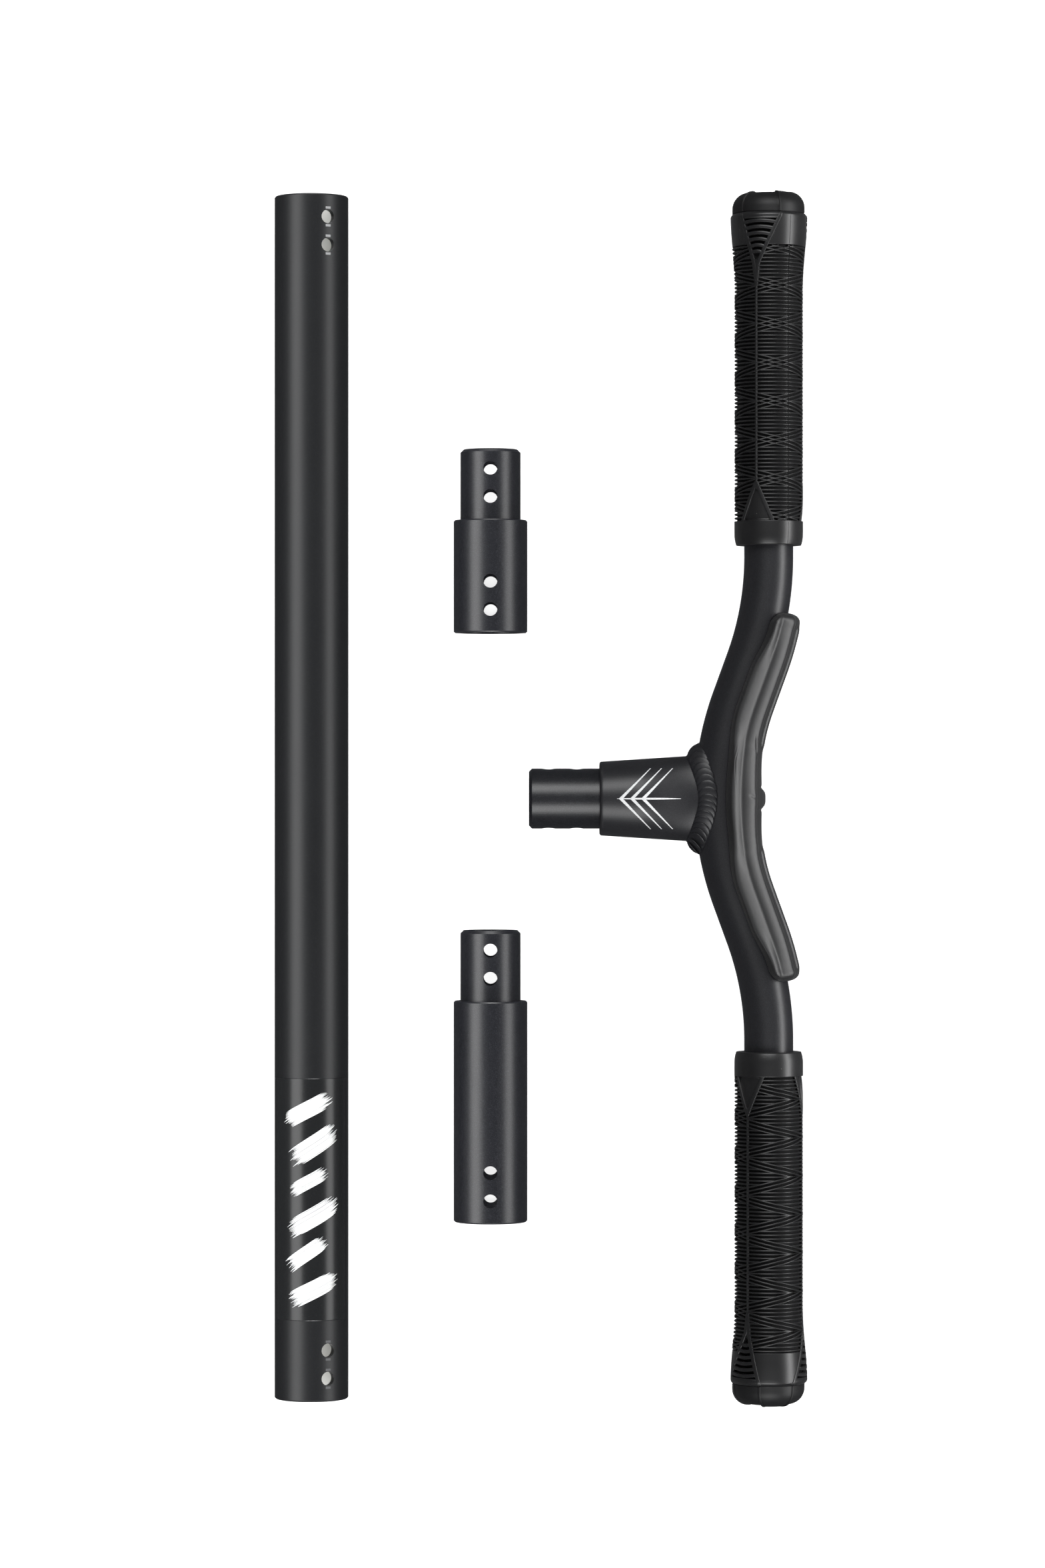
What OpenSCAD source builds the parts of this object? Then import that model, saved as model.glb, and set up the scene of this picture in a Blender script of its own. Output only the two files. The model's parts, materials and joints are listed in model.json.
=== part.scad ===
// T-handle in sections, laid out flat before assembly. The long stem tube lies
// at -X, the two extension sleeves lie end to end along Y in the middle, and
// the T-handle lies at +X with its spigot pointing to -X. Every joint is the
// same slip fit: a spigot enters a reamed socket until the shoulder seats, and
// two bolts pass through the cross holes. All lengths are in millimetres.

/* [Slip fit] */
// Bore of a reamed socket
socket_d = 27.4; // [24:0.1:32]
// Wall around a socket
socket_wall = 3; // [2:0.1:4.5]
// Length of spigot that stands out of its shoulder
spigot_len = 32; // [30:1:50]
// Wall of a spigot
spigot_wall = 2.6; // [1.6:0.1:4]
// Radial clearance between a spigot and its socket
slip_gap = 0.08; // [0.02:0.01:0.1]
// Length of spigot bonded into its own sleeve or neck
bond_depth = 16; // [12:0.5:16]
// Radial thickness of the bond line round that length
bond_gap = 0.26; // [0.24:0.01:0.29]
// Extra depth of a socket beyond the spigot
socket_relief = 1; // [0.5:0.5:4]
// Radial step from a reamed socket down to the plain bore
ream_step = 0.3; // [0.1:0.1:0.8]
// Chamfer on the rims of the tube and the sleeves
rim_chamfer = 0.6; // [0.2:0.1:1]
// Lead-in chamfer on the tip of a spigot
tip_chamfer = 1.4; // [0.5:0.1:1.5]

/* [Cross holes] */
// Diameter of a cross hole
hole_d = 6.3; // [4:0.1:7]
// Distance between the two holes of a pair
hole_pitch = 12.7; // [10:0.1:14]
// Distance from a shoulder or an open end to the first hole
hole_from_end = 10.4; // [6:0.1:11]
// Angle by which the holes of the stem tube are rolled over towards +X
tube_roll = 29; // [0:1:90]

/* [Lengths of the straight pieces] */
// Length of the stem tube
tube_len = 544; // [300:1:548]
// Land between the socket of the short sleeve and the seat of its spigot
short_land = 2; // [2:1:20]
// Length of the long extension sleeve without its spigot
long_len = 100; // [80:1:120]

/* [Handlebar] */
// Outside diameter of the handlebar tube
bar_d = 22.2; // [19:0.1:26]
// Wall of the handlebar tube
bar_wall = 2.2; // [1.5:0.1:3]
// Distance between the two open ends of the handlebar
bar_span = 528.8; // [480:1:560]
// Angle of the bend between the middle and each grip
bend_angle = 20; // [10:1:24]
// Radius of the bend in the middle, on the tube's axis
middle_bend_r = 130; // [100:1:140]
// Radius of the bend beside each grip, on the tube's axis
side_bend_r = 138; // [100:1:145]
// Distance from the middle to where the straight grip section starts
grip_straight_y = 109.4; // [105:0.2:112]

/* [Neck and weld] */
// Distance from the neck's shoulder to the axis of the handlebar
neck_len = 54; // [48:1:70]
// Width of the oval end of the neck at the handlebar
neck_end_w = 40.4; // [36:0.2:46]
// Height of the oval end of the neck at the handlebar
neck_end_h = 20.4; // [18:0.2:21]
// Length over which the neck stays full height before it flattens
neck_round_len = 17; // [17:1:24]
// Fit gap where the neck is coped to the handlebar
cope_gap = 0.05; // [0.02:0.01:0.2]
// Leg of the weld bead, from the corner to its toe
weld_leg = 3.9; // [2.5:0.1:4.5]
// Crown of the bead above the corner, on the flat sides of the neck
weld_top_h = 1.9; // [1.2:0.1:3]
// Crown of the bead above the corner, at the two ends of the oval
weld_side_h = 3.1; // [1.5:0.1:4]
// Depth of the bead's root below the corner
weld_root = 0.6; // [0.2:0.1:1]
// Number of ripples round the weld bead
weld_ripples = 40; // [24:1:60]
// Height of a ripple as a share of the bead's radius
weld_ripple = 0.08; // [0:0.01:0.15]

/* [Grips] */
// Length of a grip without its end cap
grip_len = 149.8; // [120:0.2:160]
// Outside diameter of a grip over its ribs
grip_d = 31; // [28:0.1:34]
// Outside diameter of a grip at its outer flare
flare_d = 35.2; // [33:0.1:40]
// Length over which the flare grows out of the body
flare_len = 36; // [24:1:44]
// Length of the full-width rim at the end of the flare
flare_rim = 8; // [4:0.5:12]
// Length of the smooth collar at the inner end of a grip
collar_len = 10.8; // [6:0.2:16]
// Distance between two ribs
rib_pitch = 1.74; // [1.5:0.01:3]
// Height of a rib
rib_h = 0.6; // [0.3:0.1:0.9]
// Width of a rib at its crest
rib_w = 0.6; // [0.4:0.05:0.8]
// Clearance between a grip and the handlebar
grip_gap = 0.06; // [0.04:0.01:0.1]

/* [End caps] */
// Diameter of an end cap where it meets the grip
cap_d = 32.8; // [30:0.1:34]
// Length of an end cap outside the handlebar
cap_len = 9.6; // [8:0.1:14]
// Radius of the cap's rounded edge
cap_round = 7; // [4:0.5:8]
// Length of the barbed plug inside the handlebar
plug_len = 24; // [14:1:36]
// Number of barbs on the plug
plug_barbs = 4; // [2:1:6]
// Height of a barb above the plug's core
barb_h = 0.7; // [0.3:0.1:1.2]
// Clearance between the barbs and the handlebar's bore
plug_gap = 0.06; // [0.04:0.01:0.1]

/* [Pad] */
// Length of the pad, measured along Y
pad_span = 166; // [120:2:190]
// Thickness of the pad behind the handlebar, at the ends
pad_t = 6.6; // [4:0.2:9]
// Extra thickness of the pad in the middle
pad_middle_t = 2.4; // [0:0.2:5]
// Distance from the middle over which that extra thickness dies away
pad_middle_y = 22; // [14:1:36]
// Length over which each end of the pad is rounded off
pad_tip = 10; // [5:0.5:16]
// Share of that thickness left at the pad's long edges
pad_edge = 0.5; // [0.4:0.05:0.8]
// Angle that the pad reaches round the handlebar to each side of the rear
pad_reach = 76; // [50:1:85]
// Thickness of the pad's cover
cover_t = 1.2; // [0.6:0.1:2]
// Clearance between the cover, the foam and the handlebar
pad_gap = 0.06; // [0.04:0.01:0.2]

/* [Layout] */
// X of the axis of both grips
grip_x = 103.1; // [95:0.1:115]
// X of the axis of the two extensions
extension_x = -22.9; // [-50:0.1:-22.9]
// Y of the socket end of the short extension
short_y = 75; // [70:1:100]
// Y of the socket end of the long extension
long_y = -191.6; // [-220:0.2:-150]
// Y of the middle of the stem tube
tube_y = 0.5; // [-2:0.5:2]

/* [Hidden] */
$fn = 96;
tube_d = socket_d + 2 * socket_wall;
spigot_d = socket_d - 2 * slip_gap;
socket_depth = spigot_len + socket_relief;
short_len = socket_depth + short_land + bond_depth;
tube_z = tube_d / 2;
handle_z = flare_d / 2;
tube_x = tube_d / 2 - grip_x - flare_d / 2;

// Plan of the handlebar: a bend in the middle, a slanted straight, a bend the
// other way, then the straight grip section
bar_r = bar_d / 2;
slant_len =
    (grip_straight_y - (middle_bend_r + side_bend_r) * sin(bend_angle)) / cos(bend_angle);
bar_offset = (middle_bend_r + side_bend_r) * (1 - cos(bend_angle)) + slant_len * sin(bend_angle);
bar_x = grip_x - bar_offset;
shoulder_x = bar_x - neck_len;

// Overlap of the handlebar's straight lengths with its bends, and how much
// fatter they are there
joint_lap = 0.5;
joint_step = 0.02;

// How far a cutting shape runs past the end that it opens, and how far the
// neck's oval hollow starts before the seat of its spigot ends
cut_over = 1;
hollow_lap = 0.01;

// How far the button of an end cap runs over the start of its plug
plug_lap = 0.5;

// Facets on the oval neck, and across the crown of the weld bead
neck_sides = 48;
weld_arc = 6;

// Rings from the middle of the pad to each end, the last of them that still
// holds foam, facets across the skin, and the lift of the cover's closed ends
pad_rings = 18;
foam_rings = 15;
pad_facets = 12;
pad_end_lift = 0.2;

coating = "#2b2c2f";
blasted = "#38383a";
rubber = "#2a2b2c";
leather = "#47474a";

// Turns a shape that was built along +Z so that it points along +Y
module along_y() { rotate([-90, 0, 0]) children(); }

// ---- tubes, sleeves and spigots -------------------------------------------

// Half section of a tube with a reamed socket of its own depth at each end
module tube_section(len, low_depth, high_depth) {
    r_out = tube_d / 2;
    r_socket = socket_d / 2;
    r_plain = r_socket - ream_step;
    polygon([
        [r_out - rim_chamfer, 0], [r_out, rim_chamfer],
        [r_out, len - rim_chamfer], [r_out - rim_chamfer, len],
        [r_socket, len], [r_socket, len - high_depth],
        [r_plain, len - high_depth], [r_plain, low_depth],
        [r_socket, low_depth], [r_socket, 0]
    ]);
}

// A pair of cross holes along the tube's own Y, the first one at height z
// and the second one a pitch away on the side given by way (1 or -1)
module cross_holes(z, way) {
    for (i = [0, 1])
        translate([0, -tube_d, z + way * i * hole_pitch])
            along_y() cylinder(d = hole_d, h = 2 * tube_d);
}

// Sleeve of an extension: socket at the bottom, bonded spigot seat at the top
module sleeve(len) {
    difference() {
        rotate_extrude() tube_section(len, socket_depth, bond_depth);
        cross_holes(hole_from_end, 1);
    }
}

// Spigot whose shoulder lies at height 0: the part below is bonded in
module spigot() {
    r_out = spigot_d / 2;
    r_bond = socket_d / 2 - bond_gap;
    r_in = r_out - spigot_wall;
    difference() {
        rotate_extrude() polygon([
            [r_in, -bond_depth], [r_bond, -bond_depth], [r_bond, 0], [r_out, 0],
            [r_out, spigot_len - tip_chamfer], [r_out - tip_chamfer, spigot_len],
            [r_in, spigot_len]
        ]);
        cross_holes(hole_from_end, 1);
    }
}

module stem_tube() {
    color(coating)
        translate([tube_x, tube_y - tube_len / 2, tube_z])
            along_y() rotate([0, 0, tube_roll])
                difference() {
                    rotate_extrude() tube_section(tube_len, socket_depth, socket_depth);
                    cross_holes(hole_from_end, 1);
                    cross_holes(tube_len - hole_from_end, -1);
                }
}

// Places a shape on the axis of the extensions, with its own Z along +Y
module on_extension_axis(y) {
    translate([extension_x, y, tube_z]) along_y() children();
}

module short_sleeve() { color(blasted) on_extension_axis(short_y) sleeve(short_len); }

module short_spigot() { color(coating) on_extension_axis(short_y + short_len) spigot(); }

module long_sleeve() { color(blasted) on_extension_axis(long_y) sleeve(long_len); }

module long_spigot() { color(coating) on_extension_axis(long_y + long_len) spigot(); }

module handle_spigot() {
    color(coating)
        translate([shoulder_x, 0, handle_z])
            rotate([0, -90, 0]) spigot();
}

// ---- handlebar ------------------------------------------------------------

// Where the middle bend ends and the slanted straight ends, on the +Y side
middle_end = [bar_x + middle_bend_r * (1 - cos(bend_angle)), middle_bend_r * sin(bend_angle)];
slant_end = middle_end + slant_len * [sin(bend_angle), cos(bend_angle)];

// A bend in the plan: from the +X side of its centre, round to the given angle
module bend(centre_r, angle, r) {
    rotate_extrude(angle = angle) translate([centre_r, 0]) circle(r = r);
}

// A solid rod of radius r along the whole handlebar, past its ends by over
module bar_rod(r, over) {
    translate([0, 0, handle_z]) {
        translate([bar_x + middle_bend_r, 0, 0])
            rotate([0, 0, 180 - bend_angle]) bend(middle_bend_r, 2 * bend_angle, r);
        for (side = [0, 1]) mirror([0, side, 0]) {
            translate(middle_end) rotate([0, 0, -bend_angle])
                straight(slant_len, joint_lap, r);
            translate([grip_x - side_bend_r, grip_straight_y, 0])
                rotate([0, 0, -bend_angle]) bend(side_bend_r, bend_angle, r);
            translate([grip_x, grip_straight_y, 0])
                straight(bar_span / 2 - grip_straight_y, over, r);
        }
    }
}

// A straight rod along +Y. It starts joint_lap before its origin and ends over
// past its length, and is a hair fatter than the bends, which end inside it
module straight(len, over, r) {
    translate([0, -joint_lap, 0]) along_y()
        cylinder(r = r + joint_step, h = len + joint_lap + over);
}

module handlebar() {
    color(coating) difference() {
        bar_rod(bar_r, 0);
        bar_rod(bar_r - bar_wall, cut_over);
    }
}

// ---- neck: a round tube drawn out into a flat oval and coped to the bar ---

// Smooth step from 0 to 1 as x goes from 0 to 1
function ease(x) = let (c = max(0, min(1, x))) c * c * (3 - 2 * c);

// Half width and half height of the neck, at distance u from its shoulder
function neck_w(u) = tube_d / 2 + (neck_end_w - tube_d) / 2 * u / neck_len;
function neck_h(u) =
    tube_d / 2 + (neck_end_h - tube_d) / 2
        * ease((u - neck_round_len) / (neck_len - neck_round_len - bar_r * 0.7));

// A skin through oval rings at the distances us, each ring drawn in by inset
module neck_loft(us, insets) {
    rings = [for (i = [0 : len(us) - 1], k = [0 : neck_sides - 1])
        let (turn = k * 360 / neck_sides)
        [shoulder_x + us[i],
         (neck_w(us[i]) - insets[i]) * cos(turn),
         handle_z + (neck_h(us[i]) - insets[i]) * sin(turn)]];
    skin(rings, len(us), neck_sides);
}

// Closed solid through rings of points, count rings of sides points each,
// running clockwise when seen along the way from the first ring to the last
module skin(points, count, sides) {
    polyhedron(points, concat(
        [[for (k = [0 : sides - 1]) k]],
        [for (i = [0 : count - 2], k = [0 : sides - 1])
            let (a = i * sides + k, b = i * sides + (k + 1) % sides)
            [a, a + sides, b + sides, b]],
        [[for (k = [sides - 1 : -1 : 0]) (count - 1) * sides + k]]
    ));
}

module neck() {
    steps = 8;
    flat_us = [for (i = [1 : steps])
        neck_round_len + (neck_len - neck_round_len) * i / steps];
    hollow_us = concat([bond_depth - hollow_lap], [for (u = flat_us) if (u > bond_depth) u]);
    color(coating) difference() {
        neck_loft(concat([0, rim_chamfer, neck_round_len], flat_us),
                  concat([rim_chamfer], [for (i = [0 : steps + 1]) 0]));
        neck_loft(hollow_us, [for (u = hollow_us) socket_wall + ream_step]);
        translate([shoulder_x - cut_over, 0, handle_z])
            rotate([0, 90, 0]) cylinder(d = socket_d, h = bond_depth + cut_over);
        bar_rod(bar_r + cope_gap, 0);
    }
}

// ---- weld: a closed bead of overlapping ripples in the corner of the T ----

function unit(v) = v / norm(v);

// Corner of the neck and the handlebar at the given turn round the neck
function seam(turn) =
    let (y = neck_end_w / 2 * cos(turn), z = neck_end_h / 2 * sin(turn),
         reach = middle_bend_r + sqrt(bar_r * bar_r - z * z))
    [bar_x + middle_bend_r - sqrt(reach * reach - y * y), y, z];

// Outward normals of the neck and of the handlebar at that corner
function neck_normal(turn) = unit([0, cos(turn) / neck_end_w, sin(turn) / neck_end_h]);
function bar_normal(p) =
    let (plan = unit([p[0] - bar_x - middle_bend_r, p[1]]),
         side = sqrt(bar_r * bar_r - p[2] * p[2]))
    [plan[0] * side, plan[1] * side, p[2]] / bar_r;

// A point on the handlebar's skin, the given distances round it and along it
function on_bar(p, round_by, along_by) =
    let (centre_x = bar_x + middle_bend_r,
         side = sqrt(bar_r * bar_r - p[2] * p[2]),
         lift = atan2(p[2], side) + round_by / bar_r * 180 / PI,
         plan = atan2(p[1], p[0] - centre_x) + along_by / middle_bend_r * 180 / PI,
         reach = middle_bend_r + bar_r * cos(lift))
    [centre_x + reach * cos(plan), reach * sin(plan), bar_r * sin(lift)];

// One section of the bead: a toe on the neck, a crown, a toe on the bar, a root
function bead_section(turn, size) =
    let (p = seam(turn),
         out = unit(neck_normal(turn) + bar_normal(p)),
         leg = weld_leg * size,
         crown = (weld_top_h + (weld_side_h - weld_top_h) * pow(cos(turn), 2)) * size,
         toe_neck = [p[0] - leg, p[1], p[2]],
         toe_bar = on_bar(p, leg * sin(turn), -leg * cos(turn)),
         pull = 2 * (p + out * crown) - (toe_neck + toe_bar) / 2)
    concat(
        [for (i = [0 : weld_arc])
            let (s = i / weld_arc)
            toe_neck * pow(1 - s, 2) + pull * 2 * s * (1 - s) + toe_bar * pow(s, 2)],
        [p - out * weld_root]
    );

module neck_weld() {
    rings = weld_ripples * 3;
    sides = weld_arc + 2;
    points = [for (i = [0 : rings - 1])
        for (q = bead_section(i * 360 / rings, 1 - weld_ripple * (i % 3) / 2)) q];
    faces = [for (i = [0 : rings - 1], k = [0 : sides - 1])
        let (j = (i + 1) % rings, m = (k + 1) % sides)
        [i * sides + k, j * sides + k, j * sides + m, i * sides + m]];
    color(coating) translate([0, 0, handle_z]) polyhedron(points, faces);
}

// ---- grips ----------------------------------------------------------------

// Radius of a grip over its ribs, at distance z from its inner end
function grip_r(z) =
    let (u = (z - grip_len + flare_len) / (flare_len - flare_rim))
    grip_d / 2 + (flare_d - grip_d) / 2 * pow(max(0, min(1, u)), 2);

// Half section of one rib whose near edge is at z, slightly drafted
function rib(z) =
    let (draft = (rib_pitch - rib_w) * 0.15)
    [[grip_r(z) - rib_h, z], [grip_r(z), z + draft],
     [grip_r(z), z + draft + rib_w], [grip_r(z) - rib_h, z + rib_w + 2 * draft]];

module grip() {
    bore = bar_r + grip_gap;
    first = collar_len + rib_pitch / 2;
    last = grip_len - flare_rim - rib_pitch;
    ribs = [for (z = [first : rib_pitch : last]) for (p = rib(z)) p];
    collar_r = grip_d / 2;
    difference() {
        rotate_extrude() polygon(concat(
            [[collar_r - rim_chamfer, 0], [collar_r, rim_chamfer],
             [collar_r, collar_len - rim_chamfer / 2],
             [collar_r - rib_h, collar_len]],
            ribs,
            [[flare_d / 2 - rib_h, grip_len - flare_rim], [flare_d / 2, grip_len - flare_rim],
             [flare_d / 2, grip_len - rim_chamfer], [flare_d / 2 - rim_chamfer, grip_len],
             [bore, grip_len], [bore, 0]]
        ));
    }
}

// Places a shape on a grip's axis with its own Z outwards: side 0 is +Y
module on_grip_axis(y, side) {
    mirror([0, side, 0]) translate([grip_x, y, handle_z]) along_y() children();
}

module right_grip() { color(rubber) on_grip_axis(bar_span / 2 - grip_len, 0) grip(); }

module left_grip() { color(rubber) on_grip_axis(bar_span / 2 - grip_len, 1) grip(); }

// ---- end caps -------------------------------------------------------------

// Domed button of the cap: a disc with a rounded edge
module cap_button() {
    rotate_extrude() {
        square([cap_d / 2 - cap_round, cap_len]);
        square([cap_d / 2, cap_len - cap_round]);
        intersection() {
            translate([cap_d / 2 - cap_round, cap_len - cap_round]) circle(r = cap_round);
            square([cap_d / 2, cap_len]);
        }
    }
}

// Barbed plug, hanging down from height 0 into the handlebar's bore
module cap_plug() {
    tip_r = bar_r - bar_wall - plug_gap;
    step = plug_len / (plug_barbs + 1);
    rotate_extrude() polygon(concat(
        [[0, plug_lap], [tip_r - barb_h, plug_lap]],
        [for (i = [1 : plug_barbs]) for (p = [
            [tip_r - barb_h, -i * step], [tip_r, -i * step], [tip_r - barb_h, -(i + 0.6) * step]
        ]) p],
        [[tip_r - barb_h, -plug_len - step / 2], [0, -plug_len - step / 2]]
    ));
}

module end_cap() { cap_button(); cap_plug(); }

module right_end_cap() { color(rubber) on_grip_axis(bar_span / 2, 0) end_cap(); }

module left_end_cap() { color(rubber) on_grip_axis(bar_span / 2, 1) end_cap(); }

// ---- pad: foam in a cover, on the rear of the handlebar's middle ----------

// Axis of the handlebar at height y in the plan: [x, slope angle]
function bar_axis(y) =
    let (a = abs(y), way = sign(y),
         middle = asin(min(1, a / middle_bend_r)),
         side = asin(max(0, grip_straight_y - a) / side_bend_r))
    a <= middle_end[1] ? [bar_x + middle_bend_r * (1 - cos(middle)), way * middle]
    : a <= slant_end[1] ? [middle_end[0] + (a - middle_end[1]) * tan(bend_angle), way * bend_angle]
    : [grip_x - side_bend_r * (1 - cos(side)), way * side];

// How full the pad is at distance y from the middle: 1, then rounded at the tips
function pad_fill(y) =
    let (u = max(0, (abs(y) - pad_span / 2 + pad_tip) / pad_tip))
    max(0.2, sqrt(max(0, 1 - u * u)));

// Angle that the pad reaches to each side of the rear, drawn in by inset
function pad_reach_at(y, inset) =
    pad_reach * (0.35 + 0.65 * pad_fill(y)) - inset / bar_r * 180 / PI;

// Radius of the seat on the handlebar, drawn clear of it on every facet
pad_seat_r = (bar_r + pad_gap) / cos(pad_reach / pad_facets);

// Radius of the pad's outer skin at distance y, at the angle turn from the rear
function pad_skin_r(y, turn) =
    let (middle = pad_middle_t * exp(-pow(y / pad_middle_y, 2)),
         shape = pad_edge + (1 - pad_edge) * cos(turn * 90 / pad_reach))
    bar_r + (pad_t + middle) * pad_fill(y) * shape;

// A point at radius r and angle turn, in the section across the handlebar at y
function pad_point(y, turn, r) =
    let (axis = bar_axis(y))
    [axis[0] + r * cos(turn) * cos(axis[1]),
     y - r * cos(turn) * sin(axis[1]),
     handle_z + r * sin(turn)];

// Distance of ring i along the pad: the rings lie closer together at the tips
function ring_y(i) = pad_span / 2 * sin(90 * i / pad_rings);

// Evenly spaced angles from one value to another
function sweep(from, to) = [for (k = [0 : pad_facets]) from + (to - from) * k / pad_facets];

module pad_foam() {
    inset = cover_t + pad_gap;
    points = [for (i = [-foam_rings : foam_rings])
        let (y = ring_y(i), reach = pad_reach_at(y, inset))
        each concat(
            [for (turn = sweep(-reach, reach)) pad_point(y, turn, pad_skin_r(y, turn) - inset)],
            [for (turn = sweep(reach, -reach)) pad_point(y, turn, pad_seat_r)]
        )];
    color("#3a3a3c") skin(points, 2 * foam_rings + 1, 2 * pad_facets + 2);
}

// The cover is a shell over the foam, turned in at its long edges and closed
// against the handlebar at its two ends
module pad_cover() {
    points = [for (i = [-pad_rings : pad_rings])
        let (y = ring_y(i),
             reach = pad_reach_at(y, 0),
             inside = pad_reach_at(y, cover_t),
             closed = abs(i) > foam_rings)
        each concat(
            [for (turn = sweep(-reach, reach)) pad_point(y, turn, pad_skin_r(y, turn))],
            [pad_point(y, reach, pad_seat_r), pad_point(y, inside, pad_seat_r)],
            [for (turn = sweep(inside, -inside))
                pad_point(y, turn, closed ? pad_seat_r + pad_end_lift : pad_skin_r(y, turn) - cover_t)],
            [pad_point(y, -inside, pad_seat_r), pad_point(y, -reach, pad_seat_r)]
        )];
    color(leather) skin(points, 2 * pad_rings + 1, 2 * pad_facets + 6);
}

stem_tube();
short_sleeve();
short_spigot();
long_sleeve();
long_spigot();
handle_spigot();
neck();
neck_weld();
handlebar();
right_grip();
left_grip();
right_end_cap();
left_end_cap();
pad_foam();
pad_cover();
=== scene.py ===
"""Sectional T-handle, laid out flat in its pieces: a stem tube, two extension
sleeves, and a T-handle with a welded neck, ribbed grips and a rear pad.
Lengths are in millimetres here and become metres only in the meshes."""
import json
import math
import random

import bmesh
import bpy
import numpy as np
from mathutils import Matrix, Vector

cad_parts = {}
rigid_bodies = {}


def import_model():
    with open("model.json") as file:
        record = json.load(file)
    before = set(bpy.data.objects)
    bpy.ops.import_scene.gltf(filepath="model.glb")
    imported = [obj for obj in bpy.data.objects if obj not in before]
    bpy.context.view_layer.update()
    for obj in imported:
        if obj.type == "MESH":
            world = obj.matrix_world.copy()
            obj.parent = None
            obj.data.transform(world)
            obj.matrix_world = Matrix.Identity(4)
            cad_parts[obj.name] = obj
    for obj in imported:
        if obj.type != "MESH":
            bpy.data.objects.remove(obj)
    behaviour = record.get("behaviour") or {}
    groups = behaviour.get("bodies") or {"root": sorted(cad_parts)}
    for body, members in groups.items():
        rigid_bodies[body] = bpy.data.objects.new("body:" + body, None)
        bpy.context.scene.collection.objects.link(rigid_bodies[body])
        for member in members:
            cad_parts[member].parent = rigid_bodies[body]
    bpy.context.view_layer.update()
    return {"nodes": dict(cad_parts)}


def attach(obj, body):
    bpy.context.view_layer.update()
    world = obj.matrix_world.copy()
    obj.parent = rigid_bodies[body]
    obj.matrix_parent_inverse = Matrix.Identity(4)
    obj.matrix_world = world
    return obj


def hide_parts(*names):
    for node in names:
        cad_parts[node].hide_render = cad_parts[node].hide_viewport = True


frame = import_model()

# The handle has three softboxes of its own, because it shows one highlight and
# the rest two. The camera looks straight down.

MM = 0.001
CAMERA_AT = (-8.4, 6.6, 2317)
FRAME_HEIGHT = 710.2                  # table seen from top to bottom edge
HANDLE_LIT_FROM = 0                   # pieces past this x have the handle's light
CAMERA_REACH = 2300
SENSOR = 36
TABLE_SIZE = 34                       # in metres: its edges stay out of low views


def linear(hex_colour):
    """sRGB hex, such as #2b2c2f, as linear red, green, blue and alpha."""
    parts = [int(hex_colour[i:i + 2], 16) / 255 for i in (1, 3, 5)]
    return [c / 12.92 if c <= 0.04045 else ((c + 0.055) / 1.055) ** 2.4
            for c in parts] + [1]


def node(tree, kind, inputs=None, **settings):
    """Adds a node: inputs are values or the sockets that feed it."""
    made = tree.nodes.new(kind)
    for key, value in settings.items():
        setattr(made, key, value)
    for key, value in (inputs or {}).items():
        if isinstance(value, bpy.types.NodeSocket):
            tree.links.new(value, made.inputs[key])
        else:
            made.inputs[key].default_value = value
    return made


def new_material(name, **surface):
    """A principled material with its tree emptied: (material, tree, shader)."""
    material = bpy.data.materials.new(name)
    material.use_nodes = True
    tree = material.node_tree
    tree.nodes.clear()
    shader = node(tree, "ShaderNodeBsdfPrincipled",
                  {k.replace("_", " "): v for k, v in surface.items()})
    node(tree, "ShaderNodeOutputMaterial", {"Surface": shader.outputs[0]})
    return material, tree, shader


def place(name, data):
    """A new object for a mesh, light or camera, linked into the scene."""
    made = bpy.data.objects.new(name, data)
    bpy.context.scene.collection.objects.link(made)
    return made


camera = place("camera", bpy.data.cameras.new("camera"))
camera.data.sensor_fit = "VERTICAL"
camera.data.sensor_height = SENSOR
camera.data.lens = SENSOR * CAMERA_REACH / FRAME_HEIGHT
camera.data.clip_end = 20
camera.location = Vector(CAMERA_AT) * MM
bpy.context.scene.camera = camera


def softbox(name, at, width, length, power):
    """A softbox at a point in metres, aimed at the origin. Its length runs
    along Y if it stands to one side, and upwards if it stands at an end."""
    data = bpy.data.lights.new(name, "AREA")
    data.shape = "RECTANGLE"
    data.size, data.size_y = width, length
    data.energy = power
    made = place(name, data)
    made.location = at
    long_side = "X" if at[1] == 0 else "Y"
    made.rotation_euler = Vector(at).to_track_quat("Z", long_side).to_euler()
    return made


def lights_only(lamp, *pieces):
    """Keeps a softbox to some pieces, as if a flag shaded the rest."""
    linking = lamp.light_linking
    lit = linking.receiver_collection or bpy.data.collections.new(lamp.name)
    linking.receiver_collection = lit
    for piece in pieces:
        lit.objects.link(piece)


tube_lights = (softbox("left softbox", (-1.25, 0, 1.15), 1.0, 2.8, 32),
               softbox("right softbox", (1.6, 0, 0.95), 0.8, 2.8, 23),
               softbox("far low strip softbox", (0, 1.6, 0.7), 0.8, 0.4, 34),
               softbox("near low strip softbox", (0, -1.6, 0.7), 0.8, 0.4, 34))
handle_lights = (softbox("low right strip softbox", (1.72, 0, 0.72), 0.45, 2.6, 30),
                 softbox("far softbox", (0, 1.25, 1.5), 1.4, 1.0, 19),
                 softbox("near softbox", (0, -1.25, 1.5), 1.4, 1.0, 19))

world = bpy.data.worlds.new("studio")
world.use_nodes = True
sky = world.node_tree.nodes["Background"].inputs
sky["Color"].default_value = linear("#c9ccd0")
sky["Strength"].default_value = 0.12
bpy.context.scene.world = world
bpy.context.scene.view_settings.view_transform = "Standard"

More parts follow.
